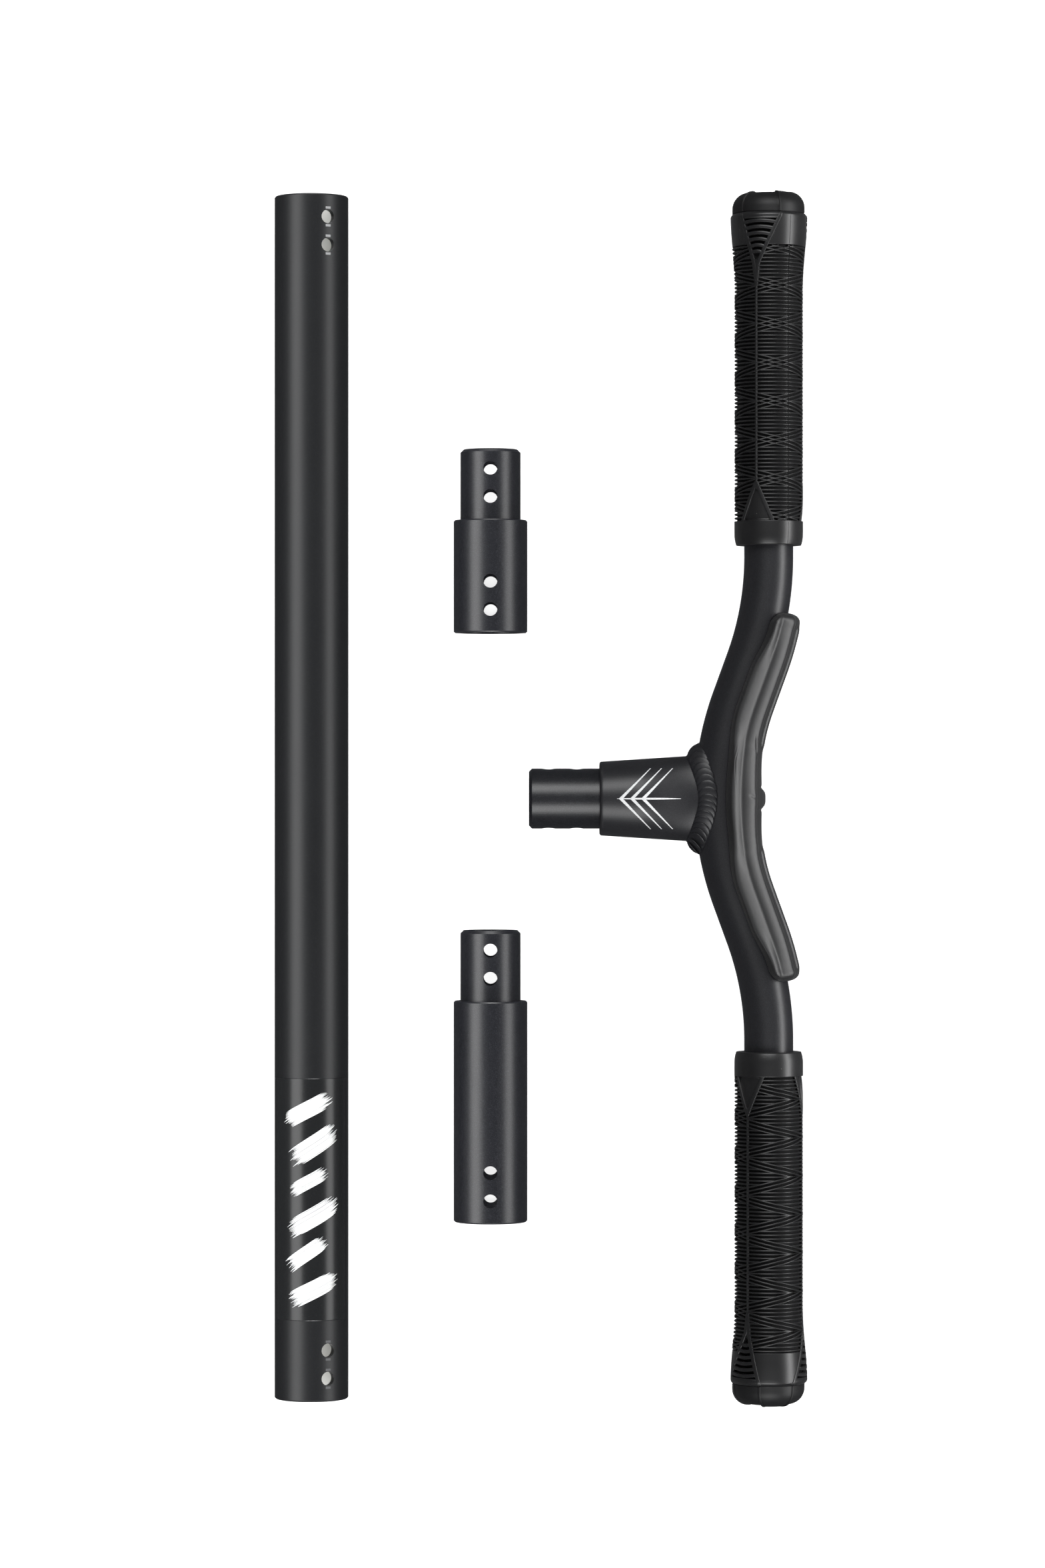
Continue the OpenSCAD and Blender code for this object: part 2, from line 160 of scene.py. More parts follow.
# Backlit acrylic: matt and plain white, and it glows so that it stays white
table_white, _, _ = new_material(
    "backlit white acrylic", Base_Color=linear("#a6a6a5"), Roughness=0.85,
    Emission_Color=linear("#ffffff"), Emission_Strength=0.84)
bpy.ops.mesh.primitive_plane_add(size=TABLE_SIZE)
table = bpy.context.object
table.name = "table"
table.data.materials.append(table_white)
table.visible_glossy = False
for lamp in tube_lights + handle_lights[1:]:
    lights_only(lamp, table)

# ---- Stem tube --------------------------------------------------------------
# Thick-walled drawn aluminium, reamed at both ends. It is coated outside in a
# satin black, and its bore and the walls of the cross holes are bare metal.

TUBE_X, TUBE_Z, TUBE_R = -104.0, 16.7, 16.7
BORE_COAT_R = 13.95                   # the coating ends inside this radius


def two_tone(tree, pattern, low, high, first, second):
    """A colour that goes from first to second as a pattern goes from low to
    high. Either colour may be a socket."""
    share = node(tree, "ShaderNodeMapRange",
                 {"Value": pattern, "From Min": low, "From Max": high}).outputs[0]
    return node(tree, "ShaderNodeMix",
                {0: share, 6: first, 7: second}, data_type="RGBA").outputs[2]


def coating(name, base, fleck, grain, relief, bore=None, **surface):
    """Powder coat or anodising: a dark body with metal flecks of a grain size
    and a relief of a depth, both in mm. Where bore gives an axis point and a
    radius, bare metal shows inside that radius of an axis along Y."""
    material, tree, shader = new_material(name, **surface)
    spot = node(tree, "ShaderNodeTexCoord").outputs["Object"]
    flecks = node(tree, "ShaderNodeTexNoise",
                  {"Vector": spot, "Scale": 1 / (grain * MM), "Detail": 2}).outputs["Fac"]
    # cloudiness of the coat over about 30 mm
    cloud = node(tree, "ShaderNodeTexNoise",
                 {"Vector": spot, "Scale": 1 / (30 * MM), "Detail": 3}).outputs["Fac"]
    colour = two_tone(tree, flecks, 0.48, 0.76, linear(base), linear(fleck))
    dull = node(tree, "ShaderNodeMath", {0: cloud, 1: 0.06}, operation="MULTIPLY_ADD")
    dull.inputs[2].default_value = shader.inputs["Roughness"].default_value - 0.03
    bump = node(tree, "ShaderNodeBump", {"Strength": 0.5, "Height": flecks,
                                         "Distance": relief * MM})
    if bore:
        (x, z), radius = bore
        off_axis = node(tree, "ShaderNodeVectorMath", {0: spot, 1: (x * MM, 0, z * MM)},
                        operation="SUBTRACT").outputs[0]
        flat = node(tree, "ShaderNodeVectorMath",
                    {0: off_axis, 1: (1, 0, 1)}, operation="MULTIPLY").outputs[0]
        distance = node(tree, "ShaderNodeVectorMath", {0: flat},
                        operation="LENGTH").outputs["Value"]
        bare = node(tree, "ShaderNodeMath", {0: distance, 1: radius * MM},
                    operation="LESS_THAN").outputs[0]
        colour = two_tone(tree, bare, 0, 1, colour, linear("#e2e2df"))
        tree.links.new(bare, shader.inputs["Metallic"])
        # the bore is as drawn, so it is duller than the coat outside
        dull = node(tree, "ShaderNodeMath", {0: bare, 1: 0.25, 2: dull.outputs[0]},
                    operation="MULTIPLY_ADD")
    tree.links.new(colour, shader.inputs["Base Color"])
    tree.links.new(dull.outputs[0], shader.inputs["Roughness"])
    tree.links.new(bump.outputs[0], shader.inputs["Normal"])
    return material


# Satin powder coat: a smooth dark film with a soft, even sheen
satin_coat = coating("satin black powder coat", "#121315", "#18191b", 0.7, 0.006,
                     bore=((TUBE_X, TUBE_Z), BORE_COAT_R), Roughness=0.4,
                     Specular_IOR_Level=0.5)


def repaint(name, material):
    """Gives a CAD node's own object a better material."""
    slots = frame["nodes"][name].data.materials
    slots.clear()
    slots.append(material)


repaint("stem_tube", satin_coat)

# ---- Film and marks on the stem tube ----------------------------------------
# A clear glossy film is wrapped round the upper side of the tube and carries
# plain dry-brush slashes. Short pale ticks are printed beside the cross holes.

FILM_Y = (-234.9, -125.9)
FILM_TURN = 67                        # degrees to each side of the top
FILM_LIFT, FILM_T = 0.02, 0.08
FILM_EDGE = 0.3                       # an extra row this far in keeps the rim crisp
INK_LIFT, INK_T = 0.01, 0.05
SLASH_PITCH = 16.2
HOLE_TURN, TICK_AT, TICK_HALF_TURN = 29, 4.0, 4.2
PER_RADIAN = 57.3                     # degrees


def solid_from(name, points, faces, material, smooth=True):
    """A mesh object from points in millimetres, with its faces turned out."""
    data = bpy.data.meshes.new(name)
    data.from_pydata([tuple(c * MM for c in p) for p in points], [], faces)
    shell = bmesh.new()
    shell.from_mesh(data)
    bmesh.ops.recalc_face_normals(shell, faces=shell.faces)
    shell.to_mesh(data)
    shell.free()
    data.polygons.foreach_set("use_smooth", [smooth] * len(data.polygons))
    data.materials.append(material)
    return place(name, data)


def grid_faces(rows, columns, close_rows=False, close_columns=False):
    """Quads over a grid of points that is stored row after row."""
    return [(i * columns + j, i * columns + (j + 1) % columns,
             (i + 1) % rows * columns + (j + 1) % columns,
             (i + 1) % rows * columns + j)
            for i in range(rows - (not close_rows))
            for j in range(columns - (not close_columns))]


def closed_grid(points, columns):
    """Faces over rings of points, with a flat face over the first and last."""
    n = len(points)
    return grid_faces(n // columns, columns, False, True) + [
        tuple(range(columns)), tuple(range(n - columns, n))[::-1]]


def plate(name, over, across, along, lift, thickness, material):
    """A thin plate that follows a surface: over(a, b, lift) gives its points."""
    rows, columns = len(across), len(along)
    points = [over(a, b, t) for t in (lift + thickness, lift)
              for a in across for b in along]
    half = rows * columns
    faces = grid_faces(rows, columns)
    faces += [tuple(half + k for k in f[::-1]) for f in faces]
    rim = (list(range(columns))
           + [i * columns + columns - 1 for i in range(1, rows)]
           + [(rows - 1) * columns + j for j in range(columns - 2, -1, -1)]
           + [i * columns for i in range(rows - 2, 0, -1)])
    faces += [(a, b, half + b, half + a) for a, b in zip(rim, rim[1:] + rim[:1])]
    return solid_from(name, points, faces, material)


def on_tube(turn, y, lift):
    """A point on the stem tube at a turn from its top towards +X."""
    r = TUBE_R + lift
    return (TUBE_X + r * math.sin(math.radians(turn)), y,
            TUBE_Z + r * math.cos(math.radians(turn)))


# Clear polyester film over the coat: the same dark body, but glossy
clear_film = coating("clear polyester film over black", "#191a1b", "#1f2021", 0.7,
                     0.003, Roughness=0.26, Specular_IOR_Level=0.5)
film = plate("clear_film", on_tube, np.linspace(-FILM_TURN, FILM_TURN, 49),
             [FILM_Y[0], *np.linspace(FILM_Y[0] + FILM_EDGE, FILM_Y[1] - FILM_EDGE, 24),
              FILM_Y[1]], FILM_LIFT, FILM_T, clear_film)
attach(film, "laid_out_kit")

# Screen-printed white ink, slightly chalky
white_ink, tree, shader = new_material("white screen ink", Roughness=0.5,
                                       Specular_IOR_Level=0.4)
chalk = node(tree, "ShaderNodeTexNoise", {
    "Vector": node(tree, "ShaderNodeTexCoord").outputs["Object"],
    "Scale": 1 / (0.8 * MM), "Detail": 4}).outputs["Fac"]
tree.links.new(two_tone(tree, chalk, 0.35, 0.65, linear("#dfe1e2"), linear("#f4f5f5")),
               shader.inputs["Base Color"])


def ribbons(name, over, strokes, lift, ink):
    """Flat strokes of ink printed on a surface. A stroke is a list of (a, b,
    half width across a, half width across b) stations."""
    points, faces = [], []
    for stroke in strokes:
        start = len(points)
        for a, b, wa, wb in stroke:
            for side in (-1, 1):
                for t in (lift, lift + INK_T):
                    points.append(over(a + side * wa, b + side * wb, t))
        n = len(stroke)
        ring = (0, 1, 3, 2)
        for i in range(n - 1):
            p, q = start + 4 * i, start + 4 * (i + 1)
            faces += [(p + ring[k], p + ring[(k + 1) % 4],
                       q + ring[(k + 1) % 4], q + ring[k]) for k in range(4)]
        faces += [tuple(start + k for k in ring[::-1]),
                  tuple(start + 4 * (n - 1) + k for k in ring)]
    return solid_from(name, points, faces, ink, smooth=False)


BRUSH = random.Random(4)


def brush_slash(turn, y, length, lean, width, bristles=15):
    """One dry-brush slash: many ragged bristle marks side by side."""
    marks = []
    for k in range(bristles):
        side = (k - (bristles - 1) / 2) / bristles
        ragged = BRUSH.uniform(0.78, 1.0) * (1 - 0.5 * abs(side) ** 1.5)
        tail = BRUSH.uniform(-0.12, 0.12)
        wide = width / bristles * BRUSH.uniform(0.30, 0.62)
        mark = []
        for t in [i / 14 * 2 - 1 for i in range(15)]:
            s = t * ragged + tail
            taper = min(1, 3 * (1 - abs(t)) + 0.15)
            mark.append((
                turn + (s * length / 2 * math.cos(lean) - side * width * math.sin(lean)
                        + 0.6 * math.sin(2.2 * s)) / TUBE_R * PER_RADIAN,
                y + s * length / 2 * math.sin(lean) + side * width * math.cos(lean),
                wide * taper * math.sin(lean) / TUBE_R * -PER_RADIAN,
                wide * taper * math.cos(lean)))
        marks.append(mark)
    return marks


slashes = []
for step, (turn, length, lean, width) in enumerate([
        (-4, 24, 0.52, 7.5), (6, 26, 0.62, 9.0), (-2, 20, 0.55, 6.0),
        (3, 27, 0.56, 8.5), (-6, 22, 0.66, 6.5), (5, 25, 0.5, 8.0)]):
    slashes += brush_slash(turn, FILM_Y[1] - 14 - step * SLASH_PITCH, length, lean,
                           width)
brush_print = ribbons("brush_slashes", on_tube, slashes, FILM_LIFT + FILM_T,
                      white_ink)
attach(brush_print, "laid_out_kit")

# The same ink, laid thin at the upper end and worn dark at the lower end
for name, middles, finish, grey in (
        ("upper_hole_ticks", (262.1, 249.4), "thin screen ink", "#8a8b8c"),
        ("lower_hole_ticks", (-261.1, -248.4), "worn screen ink", "#4d4e50")):
    ink, _, _ = new_material(finish, Base_Color=linear(grey), Roughness=0.5)
    ticks = [[(HOLE_TURN, y + way * TICK_AT + end, TICK_HALF_TURN, 0)
              for end in (-0.55, 0.5)] for y in middles for way in (-1, 1)]
    tick_print = ribbons(name, on_tube, ticks, INK_LIFT, ink)
    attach(tick_print, "laid_out_kit")

# ---- Extension sleeves and spigots ------------------------------------------
# Turned aluminium, bead-blasted and anodised black all over, inside too. A
# bonded spigot stands out of one end of each sleeve, with two cross holes.

# Blasted anodising: matt, with a fine sparkle from the bead marks
blasted = coating("blasted black anodising", "#101116", "#35363b", 0.34, 0.04,
                  Roughness=0.34, Specular_IOR_Level=0.7)
for name in ("short_sleeve", "short_spigot", "long_sleeve", "long_spigot",
             "handle_spigot"):
    repaint(name, blasted)

# ---- Handlebar --------------------------------------------------------------
# One drawn aluminium tube, 22.2 mm across, bent in the middle and beside each
# grip, and coated in the same black with a fine metallic fleck.

BAR_R, BAR_WALL, BAR_HALF = 11.1, 2.2, 264.4
HANDLE_Z = 17.6
BEND = math.radians(20)
MIDDLE_R, SIDE_R = 130, 138
GRIP_X, GRIP_Y = 103.1, 109.4
SLANT = (GRIP_Y - (MIDDLE_R + SIDE_R) * math.sin(BEND)) / math.cos(BEND)
BAR_X = GRIP_X - (MIDDLE_R + SIDE_R) * (1 - math.cos(BEND)) - SLANT * math.sin(BEND)
MIDDLE_END = (BAR_X + MIDDLE_R * (1 - math.cos(BEND)), MIDDLE_R * math.sin(BEND))
SLANT_END = MIDDLE_END[1] + SLANT * math.cos(BEND)


def bar_axis(y):
    """The handlebar's axis at y: its X, and its slope in radians."""
    a, way = abs(y), math.copysign(1, y)
    if a <= MIDDLE_END[1]:
        t = math.asin(a / MIDDLE_R)
        return BAR_X + MIDDLE_R * (1 - math.cos(t)), way * t
    if a <= SLANT_END:
        return MIDDLE_END[0] + (a - MIDDLE_END[1]) * math.tan(BEND), way * BEND
    t = math.asin(max(0, GRIP_Y - a) / SIDE_R)
    return GRIP_X - SIDE_R * (1 - math.cos(t)), way * t


def round_bar(y, turn, r):
    """A point at radius r and at turn from the rear, in the section at y."""
    x, slope = bar_axis(y)
    return (x + r * math.cos(turn) * math.cos(slope),
            y - r * math.cos(turn) * math.sin(slope),
            HANDLE_Z + r * math.sin(turn))


# Flecked satin coat, as on the neck: dark, with a faint metallic grain
flecked_coat = coating("flecked satin coat", "#1d1d20", "#35363a", 0.22, 0.04,
                       Roughness=0.37, Specular_IOR_Level=0.6)
sides = 96
stations = [*np.linspace(-BAR_HALF, -GRIP_Y, 12),
            *np.linspace(-GRIP_Y, GRIP_Y, 121)[1:-1],
            *np.linspace(GRIP_Y, BAR_HALF, 12)]
points = [round_bar(y, 2 * math.pi * k / sides, r)
          for r, run in ((BAR_R, stations), (BAR_R - BAR_WALL, stations[::-1]))
          for y in run for k in range(sides)]
handlebar = solid_from("bent_handlebar", points,
                       grid_faces(2 * len(stations), sides, True, True), flecked_coat)
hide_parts("handlebar")
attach(handlebar, "laid_out_kit")

# ---- Neck -------------------------------------------------------------------
# A round aluminium tube drawn out into a flat oval and coped to the handlebar.
# It has the same flecked coat, and carries three plain thin chevrons.

NECK_LEN, NECK_ROUND = 54, 17         # NECK_ROUND: where it starts to flatten
NECK_W, NECK_H, NECK_WALL = 20.2, 10.2, 3.3
SHOULDER_X = BAR_X - NECK_LEN
SHOULDER_EDGE = 0.6
BOND_DEPTH, SOCKET_R = 16, 13.7
CHEVRON_TIPS, CHEVRON_ARM = (8.4, 13.4, 18.4), (13.5, 13.7)
CHEVRON_SPINE = (7.6, 36.6)


def ease(x):
    """A smooth step from 0 to 1 as x goes from 0 to 1."""
    x = max(0, min(1, x))
    return x * x * (3 - 2 * x)


def neck_half(u, inset=0):
    """Half width and half height of the neck, u past its shoulder."""
    return (TUBE_R + (NECK_W - TUBE_R) * u / NECK_LEN - inset,
            TUBE_R + (NECK_H - TUBE_R)
            * ease((u - NECK_ROUND) / (NECK_LEN - NECK_ROUND - BAR_R * 0.7)) - inset)


def cope(turn, inset=0):
    """How far the neck reaches past its shoulder before it meets the bar."""
    u = NECK_LEN - BAR_R
    for _ in range(20):
        w, h = neck_half(u, inset)
        y, z = w * math.cos(turn), h * math.sin(turn)
        reach = MIDDLE_R + math.sqrt(max(0, BAR_R ** 2 - z * z))
        u = BAR_X + MIDDLE_R - math.sqrt(reach ** 2 - y * y) - SHOULDER_X
    return u


def neck_point(u, turn, w, h):
    """A point on an oval of half width w and half height h, u in the neck."""
    return (SHOULDER_X + u, w * math.cos(turn), HANDLE_Z + h * math.sin(turn))


# Rings: over the shoulder, out to the bar, and back down the bore
sides = 144
turns = np.linspace(0, 2 * math.pi, sides, endpoint=False)
shares = np.linspace(0, 1, 40)
points = [neck_point(0, t, r, r) for r in (SOCKET_R - 0.05, TUBE_R - SHOULDER_EDGE)
          for t in turns]
for s in shares:
    for t in turns:
        u = SHOULDER_EDGE + (cope(t) - SHOULDER_EDGE - 0.1) * s
        points.append(neck_point(u, t, *neck_half(u)))
for s in shares[::-2]:
    for t in turns:
        u = BOND_DEPTH + (cope(t, NECK_WALL) - 0.1 - BOND_DEPTH) * s
        points.append(neck_point(u, t, *neck_half(u, NECK_WALL)))
points += [neck_point(BOND_DEPTH, t, SOCKET_R, SOCKET_R) for t in turns]
neck = solid_from("drawn_neck", points,
                  grid_faces(len(points) // sides, sides, True, True), flecked_coat)
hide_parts("neck")
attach(neck, "laid_out_kit")


def on_neck(u, y, lift):
    """A point on the upper side of the neck."""
    w, h = neck_half(u)
    return (SHOULDER_X + u, y,
            HANDLE_Z + (h + lift) * math.sqrt(max(0.02, 1 - (y / (w + lift)) ** 2)))


# Arms 1.9 mm thick along the neck where they meet, running out to 0.4
chevrons = [[(tip + 0.95 + CHEVRON_ARM[0] * t, way * CHEVRON_ARM[1] * t,
              0.95 - 0.75 * t, 0.0) for t in np.linspace(0, 1, 20)]
            for tip in CHEVRON_TIPS for way in (-1, 1)]
first, last = CHEVRON_SPINE
chevrons.append([(first + t * (last - first), 0, 0,
                  0.42 * (1 - 0.8 * abs(2 * t - 1) ** 2))
                 for t in np.linspace(0, 1, 24)])
neck_print = ribbons("neck_chevrons", on_neck, chevrons, INK_LIFT, white_ink)
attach(neck_print, "laid_out_kit")

# ---- Weld -------------------------------------------------------------------
# A fillet weld round the foot of the neck, laid as a row of overlapping pools
# that froze one on another. It was coated with the rest.

WELD_POOLS = 38
POOL_ACROSS, POOL_ALONG, POOL_HEIGHT = 4.2, 4.1, 0.75
POOL_TIP, POOL_SUNK = math.radians(10), 0.5
FILLET_LEG, FILLET_CROWN = 5.2, 0.2


def seam(turn):
    """Corner of the neck and the bar: its point and its outward direction."""
    y, z = NECK_W * math.cos(turn), NECK_H * math.sin(turn)
    side = math.sqrt(BAR_R ** 2 - z * z)
    x = BAR_X + MIDDLE_R - math.sqrt((MIDDLE_R + side) ** 2 - y * y)
    plan = Vector((x - BAR_X - MIDDLE_R, y, 0)).normalized()
    off_bar = (plan * side + Vector((0, 0, z))) / BAR_R
    off_neck = Vector((0, math.cos(turn) / NECK_W, math.sin(turn) / NECK_H)).normalized()
    return Vector((x, y, z + HANDLE_Z)), off_neck, off_bar


def join(name, *parts):
    """One mesh object out of several, which are used up. It keeps the first
    part's finishes, and the other parts wear the first of them."""
    whole = bmesh.new()
    for part in parts:
        whole.from_mesh(part.data)
    data = parts[0].data.copy()
    whole.to_mesh(data)
    whole.free()
    for part in parts:
        bpy.data.objects.remove(part)
    return place(name, data)


def group_tree(name, **kinds):
    """An empty geometry tree with named inputs: (tree, input node, output)."""
    tree = bpy.data.node_groups.new(name, "GeometryNodeTree")
    for way, sockets in (("INPUT", {"Geometry": "NodeSocketGeometry", **kinds}),
                         ("OUTPUT", {"Geometry": "NodeSocketGeometry"})):
        for key, kind in sockets.items():
            tree.interface.new_socket(key.replace("_", " "), in_out=way,
                                      socket_type=kind)
    return tree, tree.nodes.new("NodeGroupInput"), tree.nodes.new("NodeGroupOutput")


def run_tree(piece, tree, **values):
    """Turns a piece into the plain mesh that a geometry tree makes of it."""
    modifier = piece.modifiers.new(tree.name, "NODES")
    modifier.node_group = tree
    for item in tree.interface.items_tree:
        key = item.name.replace(" ", "_")
        if item.in_out == "INPUT" and key in values:
            modifier[item.identifier] = values[key]
    bpy.context.view_layer.update()
    seen = piece.evaluated_get(bpy.context.evaluated_depsgraph_get())
    solid = bpy.data.meshes.new_from_object(seen)
    piece.modifiers.remove(modifier)
    old, piece.data = piece.data, solid
    bpy.data.meshes.remove(old)
    return piece


def finish_tree(tree, inputs, output, geometry):
    """Ends a tree: smooth shading, instances made real, and the finish."""
    shaded = node(tree, "GeometryNodeSetShadeSmooth",
                  {"Geometry": geometry, "Shade Smooth": True})
    real = node(tree, "GeometryNodeRealizeInstances", {"Geometry": shaded.outputs[0]})
    painted = node(tree, "GeometryNodeSetMaterial",
                   {"Geometry": real.outputs[0], "Material": inputs.outputs["Finish"]})
    tree.links.new(painted.outputs[0], output.inputs[0])


# One pool: a flattened ball, tipped so that its leading edge stands proud
pools, pool_in, pool_out = group_tree(
    "weld pools", Across="NodeSocketFloat", Along="NodeSocketFloat",
    Height="NodeSocketFloat", Finish="NodeSocketMaterial")
ball = node(pools, "GeometryNodeMeshUVSphere",
            {"Segments": 28, "Rings": 14, "Radius": 1.0})
lead, out, size = [
    node(pools, "GeometryNodeInputNamedAttribute", {"Name": key}, data_type=kind).outputs[0]
    for key, kind in (("lead", "FLOAT_VECTOR"), ("out", "FLOAT_VECTOR"), ("size", "FLOAT"))]
turned = node(pools, "FunctionNodeAxesToRotation",
              {0: out, 1: lead}, primary_axis="Z", secondary_axis="X")
axes = node(pools, "ShaderNodeCombineXYZ", {
    "X": pool_in.outputs["Along"], "Y": pool_in.outputs["Across"],
    "Z": pool_in.outputs["Height"]})
scaled = node(pools, "ShaderNodeVectorMath", {0: axes.outputs[0], "Scale": size},
              operation="SCALE")
laid = node(pools, "GeometryNodeInstanceOnPoints", {
    "Points": pool_in.outputs["Geometry"], "Instance": ball.outputs["Mesh"],
    "Rotation": turned.outputs[0], "Scale": scaled.outputs[0]})
finish_tree(pools, pool_in, pool_out, laid.outputs[0])


def points_with(name, places, **vectors):
    """A mesh of loose points in millimetres, with attributes on them."""
    data = bpy.data.meshes.new(name)
    data.from_pydata([tuple(c * MM for c in p) for p in places], [], [])
    for key, values in vectors.items():
        flat = np.array([tuple(v) if hasattr(v, "__len__") else v for v in values],
                        np.float32)
        kind = "FLOAT" if flat.ndim == 1 else "FLOAT_VECTOR"
        layer = data.attributes.new(key, kind, "POINT")
        layer.data.foreach_set("value" if kind == "FLOAT" else "vector", flat.ravel())
    return place(name, data)


def fillet(turn):
    """The fillet's section at a turn: its foot on the neck, its toe on the
    bar, the middle of its face, the face's outward direction, the direction
    along the seam, and the corner under it."""
    p, off_neck, off_bar = seam(turn)
    u = p.x - SHOULDER_X - FILLET_LEG
    foot = Vector(neck_point(u, turn, *neck_half(u)))
    ahead = (seam(turn + 0.02)[0] - seam(turn - 0.02)[0]).normalized()
    down_bar = ahead.cross(off_bar)
    down_bar *= math.copysign(1, down_bar.dot(off_neck))
    toe = p + down_bar * (FILLET_LEG - 1.6 * math.sin(turn) ** 2)
    plan = Vector((toe.x - BAR_X - MIDDLE_R, toe.y, 0)).normalized() * MIDDLE_R
    axis = Vector((BAR_X + MIDDLE_R + plan.x, plan.y, HANDLE_Z))
    toe = axis + (toe - axis).normalized() * BAR_R
    face = (toe - foot).cross(ahead).normalized()
    face *= math.copysign(1, face.dot(off_neck + off_bar))
    crown = FILLET_CROWN + 0.4 * math.sin(turn) ** 2
    return foot, toe, (foot + toe) / 2 + face * crown, face, ahead, p


# The fillet under the pools: a closed ring of curved sections
points = []
for k in range(180):
    foot, toe, middle, face, _, p = fillet(2 * math.pi * k / 180)
    control = middle * 2 - (foot + toe) / 2
    for t in np.linspace(0, 1, 11):
        points.append(foot * (1 - t) ** 2 + control * 2 * t * (1 - t) + toe * t * t)
    points += [toe - face * 0.8, p - face * 1.5, foot - face * 0.8]
weld_fillet = solid_from("weld_fillet", points, grid_faces(180, 14, True, True),
                         flecked_coat)

# Pools at even steps along the seam, each one lapped over the last
marks = np.linspace(0, 2 * math.pi, 721)
run = np.concatenate([[0], np.cumsum([
    (seam(b)[0] - seam(a)[0]).length for a, b in zip(marks, marks[1:])])])
spots, leads, outs, sizes = [], [], [], []
WELDER = random.Random(7)
for k in range(WELD_POOLS):
    turn = np.interp((k + WELDER.uniform(-0.14, 0.14)) / WELD_POOLS * run[-1], run, marks)
    foot, toe, middle, face, ahead, _ = fillet(turn)
    face = (face - (toe - foot).normalized() * 0.07).normalized()
    spots.append(middle - face * (POOL_SUNK + 0.25 * math.cos(turn) ** 2))
    leads.append(ahead * math.cos(POOL_TIP) - face * math.sin(POOL_TIP))
    outs.append(face * math.cos(POOL_TIP) + ahead * math.sin(POOL_TIP))
    sizes.append((toe - foot).length / 8 * WELDER.uniform(0.97, 1.03))
weld_pools = points_with("weld_pools", spots, lead=leads, out=outs, size=sizes)
run_tree(weld_pools, pools, Across=POOL_ACROSS * MM, Along=POOL_ALONG * MM,
         Height=POOL_HEIGHT * MM, Finish=flecked_coat)
weld = join("rippled_weld", weld_fillet, weld_pools)
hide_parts("neck_weld")
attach(weld, "laid_out_kit")

# ---- Grips ------------------------------------------------------------------
# Each grip is one rubber moulding: fine rings, bundles of three ribs that
# zigzag round it and cross in a lattice, three spines that fork into a slotted
# V at the flare and a triangle at the collar, and a smooth collar.

GRIP_LEN, GRIP_R, FLARE_R = 149.8, 15.5, 17.6
FLARE_LEN, FLARE_RIM = 36, 8
COLLAR_LEN = 10.8
RINGS, BUNDLES = 71, 8
RIB_PITCH, RIB_WIDE, GROOVE = 1.74, 0.7, 1.3
LATTICE_AT, LATTICE_TURN = 12.2, 32   # first crossing, and its turn past spine 0
TIP_TURN = 138                        # turn from a crossing to the zigzag's tips
SPINE_TURNS, SPINE_WIDE, SPINE_DEEP = (0, 120, -120), 1.05, 1.6
FORK_AT, V_AT, POCKET_AT = 117, 126, 128.2
RAIL_TURN, V_TURN, V_LEAN = 3, 30.5, 9
RAIL_WIDE, RAIL_DEEP, BAR_WIDE = 1.75, 2.2, 1.5
BARS, BAR_PITCH, FIRST_BAR = 6, 2.74, 131.2
TRIANGLE_APEX, TRIANGLE_TURN = 28, 28
TRIANGLE_WIDE, TRIANGLE_DEEP = 1.7, 1.4
TRIANGLE_TIP, PANEL_DEEP = 3.2, 1.15
SMOOTH_FROM, STEP = 134.4, 0.3
SLOTTED_TO, SLOT_DEEP = 146.5, 2.2
SEAM_TURN = 56.5
GRIP_BORE = 11.16
SPECKS_APART = 4.6
RIGHT_ROLL, LEFT_ROLL = 24.5, 41.5    # how far each grip is turned on the bar
TURNS = range(0, 360, 2)              # of the points in one ring of a grip or cap


def wrap(turn):
    """A turn in degrees brought between -180 and 180."""
    return (turn + 180) % 360 - 180


def crest(z):
    """Radius over the ribs and rails at z from the grip's inner end."""
    if z < COLLAR_LEN:
        return GRIP_R + 0.05 - 0.85 * max(0, 1 - z / 5) ** 2
    u = max(0, (z - GRIP_LEN + FLARE_LEN) / (FLARE_LEN - FLARE_RIM))
    widen = u * u if u < 0.75 else 1 - 1.286 * (1.333 - u) ** 2
    tip = max(0, (z - GRIP_LEN + 1.7) / 1.7)
    return GRIP_R + (FLARE_R - GRIP_R) * widen - 1.2 * tip ** 2


def rails_at(z):
    """Middle and half of the gap between the rails a spine forks into."""
    if z > FORK_AT:
        opened = max(0, z - V_AT) / (GRIP_LEN - V_AT)
        parted = ease((z - FORK_AT) / (V_AT - FORK_AT))
        return V_LEAN * opened, RAIL_TURN * parted + V_TURN * opened
    if z < TRIANGLE_APEX:
        return 0, TRIANGLE_TURN * (TRIANGLE_APEX - z) / (TRIANGLE_APEX - COLLAR_LEN)
    return 0, 0


def in_panel(z, turn):
    """True between the rails of a V or of a triangle."""
    middle, half = rails_at(z)
    return any(abs(wrap(turn - s - middle)) < half for s in SPINE_TURNS)


def skin(z, turn):
    """Radius of the moulding between its ribs."""
    r = crest(z)
    if z < COLLAR_LEN:
        return r
    if in_panel(z, turn):
        if z < TRIANGLE_APEX:
            return r - PANEL_DEEP
        pocket = ease((z - POCKET_AT) / 0.5) * ease((SLOTTED_TO - z) / 0.3)
        return r - SLOT_DEEP * pocket - 0.06
    if z > SMOOTH_FROM:
        return r - GROOVE + (GROOVE - STEP) * ease((z - SMOOTH_FROM) / 0.6)
    return r - GROOVE


